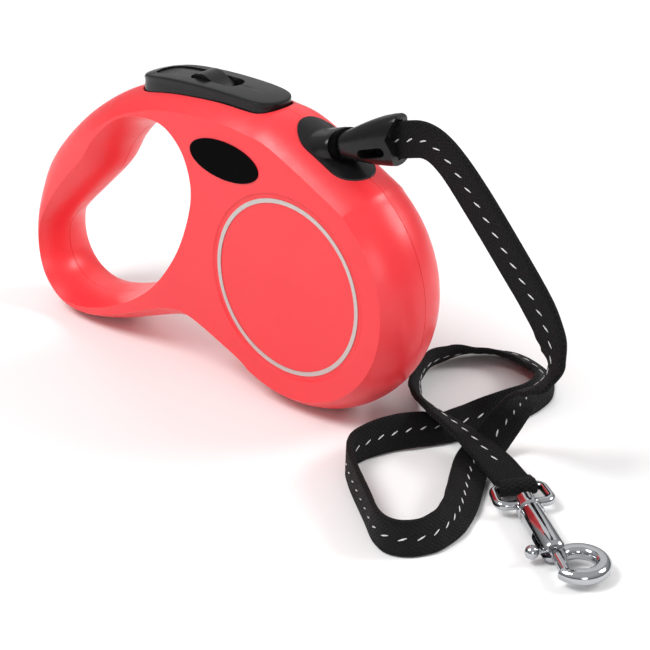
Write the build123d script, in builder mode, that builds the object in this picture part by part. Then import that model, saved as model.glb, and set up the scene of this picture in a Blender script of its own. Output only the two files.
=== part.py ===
"""Retractable tape leash: two-shell housing with a loop handle, spring-driven tape spool, brake
button with a lock slider, outlet, connector, webbing lead and swivel bolt snap.

Frame: origin at the middle of the hand grip, +X forward to the outlet, +Z up, and the parting
plane of the two shells at y = 0. The near shell is on the -Y side. Lengths are in millimetres.
"""

import math
import os

from build123d import *

# ---------------------------------------------------------------- driving dimensions
AXLE_X = 104.0            # spool axis, forward of the grip
AXLE_Z = -18.0            # spool axis, below the grip
DISC_R = 46.8             # housing round the spool, at the parting plane
HALF_T = 15.3             # half of the housing's thickness
GRIP_HALF_T = 11.0        # half thickness at the back of the handle
RIM_FILLET = 9.5
GRIP_HOLLOW_HALF = 7.5

CAVITY_R = 37.4
CAVITY_HALF = 13.0
RECESS_R = 33.0
RECESS_DEPTH = 0.5
RING_R = 31.0
RING_WIDTH = 1.5

AXLE_R = 3.0
FIT = 0.05                # running clearance of a shaft in its hole
TAPE_W = 12.0
TAPE_T = 0.6
PACK_R = 32.5             # centre line of the tape as it leaves the wound pack
FLANGE_R = 35.5
FLANGE_Y = 6.4            # inner face of each spool flange
FLANGE_T = 1.5
TEETH = 24
TOOTH_TIP_R = 36.2
TOOTH_ROOT_R = 33.4
TOOTH_W = 3.0             # brake teeth, along the axle

OUTLET_ANGLE = 18.0       # the tape's way out, above the horizontal
OUTLET = (11.8, 49.3)     # outer mouth of the nozzle, from the spool axis
TAPE_TAIL = 36.0          # straight tape inside the mouth

WELL_FLOOR = 46.0
BUTTON_BOTTOM = 49.2
PAWL_X = -26.0
PAWL_Y = (6.6, 7.9)       # the pawl's two faces, in the plane of the brake teeth

WEB_W = 12.0              # webbing lead
FLOOR = -DISC_R           # what the disc would stand on, from the spool axis
LIE = FLOOR + WEB_W / 2 + 0.1

HOOK_ANGLE = -37.0        # the snap's long axis on the floor
BARREL_R = 4.0
HOOK_AT = (100.9, -15.9, FLOOR + BARREL_R + 0.15)
BARREL_L = 26.0
EYE_WIRE = 1.5
EYE_IN_W = 13.0
BOLT_R = 1.7
BOLT_TRAVEL = 6.5

os.makedirs("parts", exist_ok=True)


# ---------------------------------------------------------------- helpers
def side(y=0.0):
    """Side plane on the spool axis: local x forward, local y up, extruding towards the near side."""
    return Plane(origin=(AXLE_X, y, AXLE_Z), x_dir=(1, 0, 0), z_dir=(0, -1, 0))


def level(z):
    """Plan plane at height z above the spool axis: local x forward, local y across."""
    return Plane(origin=(AXLE_X, 0, AXLE_Z + z), x_dir=(1, 0, 0), z_dir=(0, 0, 1))


def place(x, y, z):
    """A point given from the spool axis."""
    return (AXLE_X + x, y, AXLE_Z + z)


def polar(radius, degrees):
    return (radius * math.cos(math.radians(degrees)), radius * math.sin(math.radians(degrees)))


def save(piece, name):
    piece.part.label = name
    export_step(piece.part, f"parts/{name}.step")


def outlet_plane(along=0.0):
    """Plane across the tape's way out: local x across the housing, local y upwards."""
    c = math.cos(math.radians(OUTLET_ANGLE))
    s = math.sin(math.radians(OUTLET_ANGLE))
    x = OUTLET[0] + along * c
    z = OUTLET[1] + along * s
    return Plane(origin=place(x, 0, z), x_dir=(0, 1, 0), z_dir=(c, 0, s))


def hook_frame():
    """Snap hook's frame: local x along the barrel, local y to the ring's side, local z up."""
    c = math.cos(math.radians(HOOK_ANGLE))
    s = math.sin(math.radians(HOOK_ANGLE))
    return Plane(origin=place(*HOOK_AT), x_dir=(c, s, 0), z_dir=(0, 0, 1))


def hook_cross(along, y=0.0):
    """Plane across the hook's barrel, extruding towards the ring."""
    frame = hook_frame()
    return Plane(origin=frame.from_local_coords((along, y, 0)), x_dir=frame.y_dir, z_dir=frame.x_dir)


# ---------------------------------------------------------------- outlines
RIM_UP = 58.0             # where the handle's top line leaves the disc, in degrees
RIM_DOWN = 236.0          # where the handle's lower line meets it again
HANDLE = [(-4, 53.6), (-32, 57.6), (-62, 54.2), (-88, 43.6), (-113, 24), (-129, -1), (-132, -22),
          (-122, -42), (-106, -46.8), (-86, -42.6), (-64, -34.6), (-48, -31.6)]
FINGER_HOLE = [(-58, 40.6), (-77, 33.5), (-92, 13.5), (-116, -9.5), (-122.4, -25), (-111, -38),
               (-88, -33.8), (-62, -16.5), (-45.3, 13), (-46.3, 33.5)]

GRIP_HOLLOW = [(-84, 39.5), (-98, 33.5), (-112, 20.5), (-124, 3), (-127.5, -12), (-119.5, -8), (-104, 6),
               (-94, 18.5), (-84, 31.5)]


def housing_outline():
    with BuildLine() as edge:
        ThreePointArc(polar(DISC_R, RIM_UP), polar(DISC_R, -30), polar(DISC_R, RIM_DOWN))
        Spline([polar(DISC_R, RIM_UP)] + HANDLE + [polar(DISC_R, RIM_DOWN)],
               tangents=[polar(1, RIM_UP + 90), polar(1, RIM_DOWN + 90)])
    make_face(edge.line)


def finger_outline():
    with BuildLine() as edge:
        Spline(FINGER_HOLE, periodic=True)
    make_face(edge.line)


def button_plan(grow=0.0):
    """The button from above: blunt at the back, rounded at the front."""
    back = -75 - grow
    flank = 8 + grow
    with BuildLine() as edge:
        ThreePointArc((back, -flank + 2.5), (back + 0.8, -flank + 0.8), (back + 3, -flank))
        ThreePointArc((back + 3, -flank), (-46, -flank - 1.2), (-23, -flank - 0.3))
        Spline((-23, -flank - 0.3), (-12.8 + grow, 0), tangents=[(1, 0.08), (0, 1)])
        mirror(edge.line, about=Plane.XZ)
        Line((back, -flank + 2.5), (back, flank - 2.5))
    make_face(edge.line)


BOSSES = [(-112, 10), (-126.6, -26), (-92, -40), (-45.5, 41.5), (-50, -25)]


# ---------------------------------------------------------------- housing shells
with BuildPart() as housing:
    with BuildSketch(side(HALF_T + 5)):
        housing_outline()
    extrude(amount=2 * HALF_T + 10)

with BuildPart() as grip_slab:
    with BuildSketch(level(0)):
        with BuildLine() as slab_edge:
            Line((60, 0), (60, -HALF_T))
            Line((60, -HALF_T), (-58, -HALF_T))
            TangentArc((-58, -HALF_T), (-136, -GRIP_HALF_T), tangent=(-1, 0))
            Line((-136, -GRIP_HALF_T), (-136, 0))
            mirror(slab_edge.line, about=Plane.XZ)
        make_face()
    extrude(amount=90, both=True)

with BuildPart() as grip_hollow:
    with BuildSketch(side(GRIP_HOLLOW_HALF)):
        with BuildLine() as hollow_edge:
            Spline(GRIP_HOLLOW, periodic=True)
        make_face()
        with Locations(BOSSES[0]):
            Circle(3.6, mode=Mode.SUBTRACT)
    extrude(amount=2 * GRIP_HOLLOW_HALF)

with BuildPart() as button_well:
    with BuildSketch(level(WELL_FLOOR)):
        button_plan(0.4)
    extrude(amount=20)
    with BuildSketch(level(WELL_FLOOR - 5)):
        with Locations((-35, 0)):
            Circle(3.4)
    extrude(amount=6)
    with BuildSketch(side(PAWL_Y[1] + 0.4)):
        with Locations((PAWL_X, 36)):
            Rectangle(7, 24)
    extrude(amount=PAWL_Y[1] - PAWL_Y[0] + 0.8)

def on_the_flats(edge):
    """True for an edge that runs round one of the two flat sides."""
    return all(abs((edge @ t).Y) > GRIP_HALF_T - 0.5 for t in (0, 0.5, 1))


with housing:
    add(grip_slab.part, mode=Mode.INTERSECT)
    fillet(housing.edges().filter_by(on_the_flats), radius=RIM_FILLET)
    with BuildSketch(side(HALF_T + 1)):
        finger_outline()
    extrude(amount=2 * HALF_T + 2, mode=Mode.SUBTRACT)
    with BuildSketch(side(CAVITY_HALF)):
        Circle(CAVITY_R)
    extrude(amount=2 * CAVITY_HALF, mode=Mode.SUBTRACT)
    add(grip_hollow.part, mode=Mode.SUBTRACT)
    add(button_well.part, mode=Mode.SUBTRACT)

# ---------------------------------------------------------------- outlet insert
with BuildPart() as insert_shape:
    with BuildSketch(level(36)):
        with Locations((9.5, 0)):
            SlotOverall(32, 19)
    extrude(amount=24)
    with BuildSketch(side(12)):
        with BuildLine() as profile:
            Spline((-8, 54.8), (2, 54.9), (12.6, 54.2), tangents=[(1, 0.1), (1, -0.2)])
            Line((12.6, 54.2), (15.0, 46.4))
            Spline((15.0, 46.4), (20.5, 43.4), (26.5, 39.6), tangents=[(1, -0.25), (0.62, -0.78)])
            Line((26.5, 39.6), (24.2, 36.8))
            Spline((24.2, 36.8), (8, 44.6), (-8, 48.6), tangents=[(-0.8, 0.5), (-1, 0.12)])
            Line((-8, 48.6), (-8, 54.8))
        make_face(profile.line)
    extrude(amount=24, mode=Mode.INTERSECT)

with BuildPart() as nozzle:
    with BuildSketch(outlet_plane(-7)):
        Ellipse(7.4, 4.6)
    extrude(amount=7)

with BuildPart() as stop_seat:
    with BuildSketch(outlet_plane(0)):
        Ellipse(7.8, 5.7)
    extrude(amount=16)
    with BuildSketch(outlet_plane(2.8)):
        RectangleRounded(16, 11, 3.5)
    extrude(amount=13)

with BuildPart() as tape_way:
    with BuildSketch(outlet_plane(-TAPE_TAIL - 1)):
        Rectangle(TAPE_W + 1, 1.8)
    extrude(amount=TAPE_TAIL + 12)

GUIDE_R = 1.5
GUIDE_GAP = GUIDE_R + TAPE_T / 2 + 0.2
GUIDE = (OUTLET[0] - 8.6, OUTLET[1] - 8.6 * math.tan(math.radians(OUTLET_ANGLE)))
GUIDE = (GUIDE[0] + GUIDE_GAP * math.sin(math.radians(OUTLET_ANGLE)),
         GUIDE[1] - GUIDE_GAP * math.cos(math.radians(OUTLET_ANGLE)))
GUIDE_D = math.hypot(*GUIDE)
FEED_ANGLE = math.degrees(math.atan2(GUIDE[1], GUIDE[0])
                          - math.asin((PACK_R - GUIDE_R - TAPE_T / 2) / GUIDE_D))
FEED_FROM = polar(PACK_R, FEED_ANGLE + 90)
FEED_L = math.sqrt(GUIDE_D ** 2 - (PACK_R - GUIDE_R - TAPE_T / 2) ** 2) - 2.0


def feed_plane():
    """Plane across the tape on its way from the wound pack to the guide pin."""
    direction = polar(1, FEED_ANGLE)
    return Plane(origin=place(FEED_FROM[0], 0, FEED_FROM[1]), x_dir=(0, 1, 0),
                 z_dir=(direction[0], 0, direction[1]))


with BuildPart() as feed_way:
    with BuildSketch(feed_plane()):
        Rectangle(TAPE_W + 1, 3.4)
    extrude(amount=FEED_L + 4)

with BuildPart() as outlet_insert:
    add(insert_shape.part)
    add(nozzle.part)
    add(stop_seat.part, mode=Mode.SUBTRACT)
    add(tape_way.part, mode=Mode.SUBTRACT)
    with BuildSketch(side(-TAPE_W / 2 - 1.5)):
        with Locations(GUIDE):
            Circle(GUIDE_R + 0.02)
    extrude(amount=-TAPE_W - 3, mode=Mode.SUBTRACT)
save(outlet_insert, "outlet_insert")

with BuildPart() as guide_pin:
    with BuildSketch(side(-TAPE_W / 2 - 1.5)):
        with Locations(GUIDE):
            Circle(GUIDE_R)
    extrude(amount=-TAPE_W - 3)
save(guide_pin, "guide_pin")

# ---------------------------------------------------------------- housing cuts and halves
BADGE_AT = Location((-26.6, 38.2), -2)
BADGE_T = 0.7
BADGE_SUNK = 0.4
RING_T = 0.25
SCREW_R = 1.25
SCREW_HEAD_R = 2.3
SCREW_SEAT_Y = 6.0
SCREW_TIP_Y = -6.5
RECESS_Y = HALF_T - RECESS_DEPTH

with BuildPart() as near_recess:
    with BuildSketch(side(-RECESS_Y)):
        Circle(RECESS_R)
    extrude(amount=2)
    with BuildSketch(side(-HALF_T + BADGE_SUNK)):
        with Locations(BADGE_AT):
            Ellipse(15.6, 6.9)
    extrude(amount=2)

with BuildPart() as screw_ways:
    with BuildSketch(side(20)):
        with Locations(BOSSES):
            Circle(SCREW_R + 0.1)
    extrude(amount=20 - SCREW_TIP_Y + 1)
    with BuildSketch(side(SCREW_SEAT_Y)):
        with Locations(BOSSES):
            Circle(SCREW_HEAD_R + 0.2)
    extrude(amount=-14)

with housing:
    add(near_recess.part, mode=Mode.SUBTRACT)
    add(near_recess.part.mirror(Plane.XZ), mode=Mode.SUBTRACT)
    add(insert_shape.part, mode=Mode.SUBTRACT)
    add(nozzle.part, mode=Mode.SUBTRACT)
    add(stop_seat.part, mode=Mode.SUBTRACT)
    add(tape_way.part, mode=Mode.SUBTRACT)
    add(feed_way.part, mode=Mode.SUBTRACT)
    add(screw_ways.part, mode=Mode.SUBTRACT)
    with BuildSketch(side(-TAPE_W / 2 - 1.6)):
        with Locations(GUIDE):
            Circle(GUIDE_R + 0.02)
    extrude(amount=-TAPE_W - 3.2, mode=Mode.SUBTRACT)

AXLE_SINK = 1.2

with BuildPart() as near_shell:
    add(housing.part)
    split(bisect_by=Plane.XZ, keep=Keep.TOP)
    with BuildSketch(side(-CAVITY_HALF)):
        Circle(AXLE_R + FIT)
    extrude(amount=AXLE_SINK, mode=Mode.SUBTRACT)
save(near_shell, "near_shell")

with BuildPart() as far_shell:
    add(housing.part)
    split(bisect_by=Plane.XZ, keep=Keep.BOTTOM)
    with BuildSketch(side(CAVITY_HALF)):
        Circle(7)
    extrude(amount=CAVITY_HALF - 10.4)
    with BuildSketch(side(CAVITY_HALF + AXLE_SINK)):
        Circle(AXLE_R + FIT)
    extrude(amount=CAVITY_HALF, mode=Mode.SUBTRACT)
save(far_shell, "far_shell")

with BuildPart() as shell_screws:
    with BuildSketch(side(SCREW_SEAT_Y)):
        with Locations(BOSSES):
            Circle(SCREW_R)
    extrude(amount=SCREW_SEAT_Y - SCREW_TIP_Y)
    with BuildSketch(side(SCREW_SEAT_Y)):
        with Locations(BOSSES):
            Circle(SCREW_HEAD_R)
    extrude(amount=-1.8)
    with BuildSketch(side(SCREW_SEAT_Y + 1.8)):
        with Locations(BOSSES):
            Rectangle(3.0, 0.6)
            Rectangle(0.6, 3.0)
    extrude(amount=1.0, mode=Mode.SUBTRACT)
save(shell_screws, "shell_screws")

for name, side_sign in (("near", -1), ("far", 1)):
    with BuildPart() as badge:
        with BuildSketch(side(side_sign * (HALF_T - BADGE_SUNK))):
            with Locations(BADGE_AT):
                Ellipse(15.4, 6.7)
        extrude(amount=-side_sign * BADGE_T)
    save(badge, f"{name}_badge")
    with BuildPart() as ring:
        with BuildSketch(side(side_sign * RECESS_Y)):
            Circle(RING_R)
            Circle(RING_R - RING_WIDTH, mode=Mode.SUBTRACT)
        extrude(amount=-side_sign * RING_T)
    save(ring, f"{name}_ring")

# ---------------------------------------------------------------- spool and its spring
HUB_R = 11.0
CUP_R = 34.0
CUP_END_Y = -11.9
COVER_T = 0.6
ARBOR_R = 5.0
SPRING_TURNS = 8
SPRING_T = 0.45

with BuildPart() as spool:
    with BuildSketch(side(FLANGE_Y)):
        Circle(HUB_R)
    extrude(amount=2 * FLANGE_Y)
    with BuildSketch(side(-FLANGE_Y)):
        Circle(FLANGE_R)
    extrude(amount=FLANGE_T)
    with BuildSketch(side(-FLANGE_Y - FLANGE_T)):
        Circle(CUP_R)
        Circle(CUP_R - 1.6, mode=Mode.SUBTRACT)
    extrude(amount=-CUP_END_Y - FLANGE_Y - FLANGE_T)
    with BuildSketch(side(FLANGE_Y + 1)):
        Circle(AXLE_R + FIT)
    extrude(amount=2 * FLANGE_Y + 4, mode=Mode.SUBTRACT)
    with BuildSketch(side(FLANGE_Y)):
        with Locations(Location((HUB_R - 1.2, 0), 0)):
            Rectangle(5, 1.2)
    extrude(amount=2 * FLANGE_Y, mode=Mode.SUBTRACT)
save(spool, "spool")

with BuildPart() as tape_anchor:
    with BuildSketch(side(FLANGE_Y - 0.3)):
        with Locations((HUB_R - 1.6, 0)):
            Circle(0.55)
    extrude(amount=2 * FLANGE_Y - 0.6)
save(tape_anchor, "tape_anchor")

TOOTH_PITCH = 360 / TEETH
PAWL_ANGLE = math.degrees(math.acos((PAWL_X + 0.4) / TOOTH_TIP_R))

with BuildPart() as ratchet_flange:
    with BuildSketch(side(FLANGE_Y + FLANGE_T)):
        Circle(TOOTH_ROOT_R)
    extrude(amount=FLANGE_T)
    with BuildSketch(side(FLANGE_Y + TOOTH_W)):
        Circle(TOOTH_ROOT_R)
        with PolarLocations(0, TEETH, start_angle=PAWL_ANGLE + TOOTH_PITCH / 2):
            with Locations(Location(((TOOTH_ROOT_R + TOOTH_TIP_R) / 2 - 0.5, 0))):
                Trapezoid(TOOTH_TIP_R - TOOTH_ROOT_R + 1, 4.4, 90, 75)
        Circle(TOOTH_ROOT_R - 3, mode=Mode.SUBTRACT)
    extrude(amount=TOOTH_W)
    with BuildSketch(side(FLANGE_Y + TOOTH_W)):
        Circle(AXLE_R + FIT + 0.5)
    extrude(amount=TOOTH_W + 1, mode=Mode.SUBTRACT)
save(ratchet_flange, "ratchet_flange")

with BuildPart() as thrust_washer:
    with BuildSketch(side(FLANGE_Y + FLANGE_T + 1.0)):
        Circle(6.5)
        Circle(AXLE_R + FIT, mode=Mode.SUBTRACT)
    extrude(amount=0.7)
save(thrust_washer, "thrust_washer")

with BuildPart() as wound_tape:
    with BuildSketch(side(TAPE_W / 2)):
        Circle(PACK_R - TAPE_T)
        Circle(HUB_R, mode=Mode.SUBTRACT)
    extrude(amount=TAPE_W)
save(wound_tape, "wound_tape")

with BuildPart() as tape_feed:
    with BuildSketch(feed_plane()):
        Rectangle(TAPE_W, TAPE_T - 0.1)
    extrude(amount=FEED_L)
save(tape_feed, "tape_feed")

with BuildPart() as spring_cover:
    with BuildSketch(side(CUP_END_Y)):
        Circle(CUP_R)
        Circle(ARBOR_R + 2, mode=Mode.SUBTRACT)
    extrude(amount=COVER_T)
save(spring_cover, "spring_cover")


def spiral(inner, pitch, turns, shift):
    """Points along a flat spiral, twelve to a turn."""
    return [polar(inner + shift + pitch * k / 12, 30 * k) for k in range(12 * turns + 1)]


with BuildPart() as power_spring:
    with BuildSketch(side(-FLANGE_Y - FLANGE_T - 0.2)):
        with BuildLine() as strip:
            low = Spline(spiral(ARBOR_R + 1, 2.9, SPRING_TURNS, 0))
            high = Spline(spiral(ARBOR_R + 1, 2.9, SPRING_TURNS, SPRING_T))
            Line(low @ 0, high @ 0)
            Line(low @ 1, high @ 1)
        make_face()
    extrude(amount=-CUP_END_Y - FLANGE_Y - FLANGE_T - 0.4)
save(power_spring, "power_spring")

with BuildPart() as axle:
    with BuildSketch(side(CAVITY_HALF + AXLE_SINK)):
        Circle(AXLE_R)
    extrude(amount=2 * (CAVITY_HALF + AXLE_SINK))
    with BuildSketch(side(-FLANGE_Y - FLANGE_T - 0.2)):
        Circle(ARBOR_R)
    extrude(amount=CAVITY_HALF - FLANGE_Y - FLANGE_T - 0.3)
save(axle, "axle")

# ---------------------------------------------------------------- brake button
BUTTON_TOP = [(-75, 54.2), (-62, 57.2), (-46, 58.5), (-28, 58.7), (-12.6, 57.9)]
TRACK_FROM = -61.0
TRACK_TO = -32.5
TRACK_W = 8.4
TRACK_FLOOR = 55.2
SPRING_AT = (-35.0, 0.0)
SPRING_POCKET_TOP = 53.0
PAWL_HEAD_Y = 4.2         # inner end of the pawl's head

with BuildPart() as brake_button:
    with BuildSketch(level(BUTTON_BOTTOM)):
        button_plan()
    extrude(amount=12)
    with BuildSketch(side(12)):
        with BuildLine() as crown:
            Spline(BUTTON_TOP)
            Line((-12.6, 57.9), (-12.6, BUTTON_BOTTOM))
            Line((-12.6, BUTTON_BOTTOM), (-75.2, BUTTON_BOTTOM))
            Line((-75.2, BUTTON_BOTTOM), (-75, 54.2))
        make_face(crown.line)
    extrude(amount=24, mode=Mode.INTERSECT)
    fillet(brake_button.edges().group_by(Axis.Z)[-1], radius=1.0)
    with BuildSketch(level(TRACK_FLOOR)):
        with Locations(((TRACK_FROM + TRACK_TO) / 2, 0)):
            SlotOverall(TRACK_TO - TRACK_FROM, TRACK_W)
    extrude(amount=6, mode=Mode.SUBTRACT)
    with BuildSketch(level(BUTTON_BOTTOM)):
        with Locations(SPRING_AT):
            Circle(3.3)
    extrude(amount=SPRING_POCKET_TOP - BUTTON_BOTTOM, mode=Mode.SUBTRACT)
    with BuildSketch(side(PAWL_Y[1] + 3)):
        with Locations((PAWL_X, BUTTON_BOTTOM + 1.5)):
            Rectangle(8.2, 3.2)
    extrude(amount=PAWL_Y[1] + 3 - PAWL_HEAD_Y, mode=Mode.SUBTRACT)
save(brake_button, "brake_button")


# ---------------------------------------------------------------- pawl, button spring and lock
PAWL_TIP_R = 37.0
PAWL_W = 3.0
SPRING_WIRE_R = 0.25
SPRING_COIL_R = 2.6
SPRING_FOOT = 41.0

with BuildPart() as brake_pawl:
    tip_z = math.sqrt(PAWL_TIP_R ** 2 - PAWL_X ** 2) + 0.8
    with BuildSketch(side(PAWL_Y[1])):
        with Locations((PAWL_X, tip_z)):
            Rectangle(PAWL_W, BUTTON_BOTTOM + 2 - tip_z, align=(Align.CENTER, Align.MIN))
    extrude(amount=PAWL_Y[1] - PAWL_Y[0])
    with BuildSketch(side(PAWL_Y[1])):
        with Locations((PAWL_X, BUTTON_BOTTOM + 0.2)):
            Rectangle(8.0, 2.9, align=(Align.CENTER, Align.MIN))
    extrude(amount=PAWL_Y[1] - PAWL_HEAD_Y)
save(brake_pawl, "brake_pawl")

with BuildPart() as button_spring:
    coil_top = SPRING_POCKET_TOP - SPRING_WIRE_R
    coil_foot = SPRING_FOOT + SPRING_WIRE_R
    with BuildLine() as coil:
        Helix(pitch=(coil_top - coil_foot) / 6, height=coil_top - coil_foot, radius=SPRING_COIL_R,
              center=place(*SPRING_AT, coil_foot))
    with BuildSketch(Plane(origin=coil.line @ 0, z_dir=coil.line % 0)):
        Circle(SPRING_WIRE_R)
    sweep(path=coil.line, is_frenet=True)
save(button_spring, "button_spring")

SLIDER_BACK = -53.0
SLIDER_FRONT = -37.0
SLIDER_TOP = [(-53, 57.6), (-50, 59.6), (-47, 60.4), (-43.5, 59.3), (-37, 57.4)]

with BuildPart() as lock_slider:
    with BuildSketch(level(TRACK_FLOOR + 0.15)):
        with Locations(((SLIDER_BACK + SLIDER_FRONT) / 2, 0)):
            SlotOverall(SLIDER_FRONT - SLIDER_BACK, TRACK_W - 0.8)
    extrude(amount=8)
    with BuildSketch(side(6)):
        with BuildLine() as ridge:
            Spline(SLIDER_TOP)
            Line(SLIDER_TOP[-1], (SLIDER_FRONT, TRACK_FLOOR))
            Line((SLIDER_FRONT, TRACK_FLOOR), (SLIDER_BACK, TRACK_FLOOR))
            Line((SLIDER_BACK, TRACK_FLOOR), SLIDER_TOP[0])
        make_face(ridge.line)
    extrude(amount=12, mode=Mode.INTERSECT)
save(lock_slider, "lock_slider")

# ---------------------------------------------------------------- tape's end, stop and connector
STOP_FROM = 0.2           # along the way out, from the nozzle's mouth
STOP_T = 2.8
CONNECTOR_END = 27.0
PIN_ALONG = 18.0
PIN_R = 1.2
MOUTH_W = 3.4


def outlet_side(y=0.0):
    """Side plane with local x along the way out, from the nozzle's mouth, and y across it."""
    c = math.cos(math.radians(OUTLET_ANGLE))
    s = math.sin(math.radians(OUTLET_ANGLE))
    return Plane(origin=place(OUTLET[0], y, OUTLET[1]), x_dir=(c, 0, s), z_dir=(0, -1, 0))


with BuildPart() as soft_stop:
    with BuildSketch(outlet_plane(STOP_FROM)):
        Ellipse(7.4, 5.3)
    extrude(amount=STOP_T)
    fillet(soft_stop.edges(), radius=0.9)
    with BuildSketch(outlet_plane(STOP_FROM - 1)):
        Rectangle(TAPE_W, TAPE_T)
    extrude(amount=STOP_T + 2, mode=Mode.SUBTRACT)
save(soft_stop, "soft_stop")

CONNECTOR_FROM = STOP_FROM + STOP_T
TAPE_END = CONNECTOR_FROM + 7.0

with BuildPart() as connector_body:
    with BuildSketch(outlet_plane(CONNECTOR_FROM)):
        RectangleRounded(15, 9.6, 3.2)
    with BuildSketch(outlet_plane((CONNECTOR_FROM + CONNECTOR_END) / 2)):
        RectangleRounded(12.4, 12.6, 3.0)
    with BuildSketch(outlet_plane(CONNECTOR_END)):
        RectangleRounded(9.4, 16.4, 2.6)
    loft()
    with BuildSketch(outlet_side(12)):
        with BuildLine():
            Polyline((CONNECTOR_END + 1, 4.6), (CONNECTOR_END - 5, 0), (CONNECTOR_END + 1, -4.6), close=True)
        make_face()
        with Locations((PIN_ALONG - 2.5, 0)):
            SlotOverall(11, 4.4)
    extrude(amount=24, mode=Mode.SUBTRACT)
    with BuildSketch(outlet_plane(TAPE_END)):
        Rectangle(MOUTH_W, 13)
    extrude(amount=CONNECTOR_END, mode=Mode.SUBTRACT)
    with BuildSketch(outlet_plane(CONNECTOR_FROM)):
        Rectangle(TAPE_W, TAPE_T)
    extrude(amount=TAPE_END, mode=Mode.SUBTRACT)
    with BuildSketch(Plane(origin=outlet_side().from_local_coords((PIN_ALONG, -7, 0)),
                           z_dir=outlet_side().y_dir)):
        Circle(PIN_R)
    extrude(amount=14, mode=Mode.SUBTRACT)
save(connector_body, "connector_body")

with BuildPart() as connector_pin:
    with BuildSketch(Plane(origin=outlet_side().from_local_coords((PIN_ALONG, -6.5, 0)),
                           z_dir=outlet_side().y_dir)):
        Circle(PIN_R)
    extrude(amount=13)
save(connector_pin, "connector_pin")

with BuildPart() as tape_run:
    with BuildSketch(outlet_plane(-TAPE_TAIL)):
        Rectangle(TAPE_W, TAPE_T)
    extrude(amount=TAPE_TAIL + TAPE_END)
save(tape_run, "tape_run")

# ---------------------------------------------------------------- webbing lead
# Doubled webbing from the connector to the snap: down in front of the housing, round one loop
# on the floor and over itself. Points are given from the spool axis.
EYE_BAR = -11.5           # the eye's cross bar, along the barrel
WEB_LEAD = 8.5            # straight out of the connector's mouth


def on_outlet(along):
    """A point on the tape's way out, given from the spool axis."""
    out = polar(along, OUTLET_ANGLE)
    return (OUTLET[0] + out[0], 0, OUTLET[1] + out[1])


WEB_BACK = EYE_BAR - EYE_WIRE
WEB_END = (HOOK_AT[0] + WEB_BACK * math.cos(math.radians(HOOK_ANGLE)),
           HOOK_AT[1] + WEB_BACK * math.sin(math.radians(HOOK_ANGLE)), LIE)
WEB_ROUTE = [
    on_outlet(CONNECTOR_END), on_outlet(CONNECTOR_END + WEB_LEAD),
    (54.5, 0, 56.3), (66.5, 0, 44.3), (83, -0.5, 26.5), (94, 0, 13.5), (98, 1, 0.5),
    (94, 4, -11), (86.5, 9, -17.5), (79.5, 13.5, -23.5), (74, 16.5, -30), (68.5, 15.5, -37),
    (65, 7, LIE), (68.5, -2.5, LIE), (74.5, -11.5, LIE), (82, -22.5, LIE), (89, -34, LIE),
    (93.2, -47.5, LIE), (90.5, -56.8, LIE), (83.4, -62, LIE), (74.6, -61.5, LIE), (66.5, -55.5, LIE),
    (55, -46.5, LIE), (43, -37, LIE), (37, -23.5, LIE), (41, -9, LIE), (48, 4, LIE), (53.5, 17, LIE),
    (62, 29.5, LIE), (65, 42, LIE), (59, 54, LIE), (47.5, 62.5, LIE), (34, 65.5, LIE), (24, 58, LIE),
    (20, 45.5, LIE), (22, 33.5, LIE), (29.5, 25, -40), (38, 19.5, -34.5), (44.5, 12.5, -28), (53, 7, -27),
    (62, 3.5, -28), (72, 0, -27.5), (82.2, -3, -34),
    WEB_END,
]


def bend_radii(points):
    """Each corner's arc, as large as its two runs allow."""
    radii = []
    for before, at, after in zip(points, points[1:], points[2:]):
        run_in = Vector(at) - Vector(before)
        run_out = Vector(after) - Vector(at)
        half_turn = math.radians(run_in.get_angle(run_out) / 2)
        radii.append(0.45 * min(run_in.length, run_out.length) / math.tan(half_turn))
    return radii


WEB_POINTS = [place(*point) for point in WEB_ROUTE]
WEB_RADII = bend_radii(WEB_POINTS)
print("webbing bend radii, mm:", [round(radius, 1) for radius in WEB_RADII])

with BuildPart() as webbing_strap:
    with BuildLine() as web_path:
        FilletPolyline(WEB_POINTS, radius=WEB_RADII)
    with BuildSketch(Plane(origin=web_path.line @ 0, z_dir=web_path.line % 0)):
        Circle(WEB_W / 2)
    sweep(path=web_path.line)
web_length = web_path.wires()[0].length
print("webbing length, mm:", round(web_length, 1), "volume over section times length:",
      round(webbing_strap.part.volume / (web_length * math.pi * (WEB_W / 2) ** 2), 4))
save(webbing_strap, "webbing_strap")

# ---------------------------------------------------------------- swivel bolt snap
NECK_R = 1.8              # the eye's stub, in the barrel's end
HEAD_R = 2.6
RING_CENTRE = (34.0, 5.5)
SNAP_RING_R = 7.45
SNAP_WIRE_R = 2.05
GATE_FROM = 28.0
GATE_TO = 36.8
BOLT_FROM = 16.5
BOLT_TO = 37.6
KNOB_AT = 25.0
BARREL_FROM = 1.0
BARREL_TO = BARREL_FROM + BARREL_L

with BuildPart() as swivel_eye:
    with BuildLine(hook_frame()) as eye_path:
        FilletPolyline((EYE_BAR, 8), (-1.6, 8.8), (-1.6, -8.8), (EYE_BAR, -8), close=True, radius=2.4)
    with BuildSketch(Plane(origin=eye_path.line @ 0, z_dir=eye_path.line % 0)):
        Circle(EYE_WIRE)
    sweep(path=eye_path.line)
    with BuildSketch(hook_cross(-3.2)):
        Circle(3.3)
    extrude(amount=3.9)
    with BuildSketch(hook_cross(0)):
        Circle(NECK_R)
    extrude(amount=5.6)
    with BuildSketch(hook_cross(4.4)):
        Circle(HEAD_R)
    extrude(amount=1.4)
save(swivel_eye, "swivel_eye")

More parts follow.
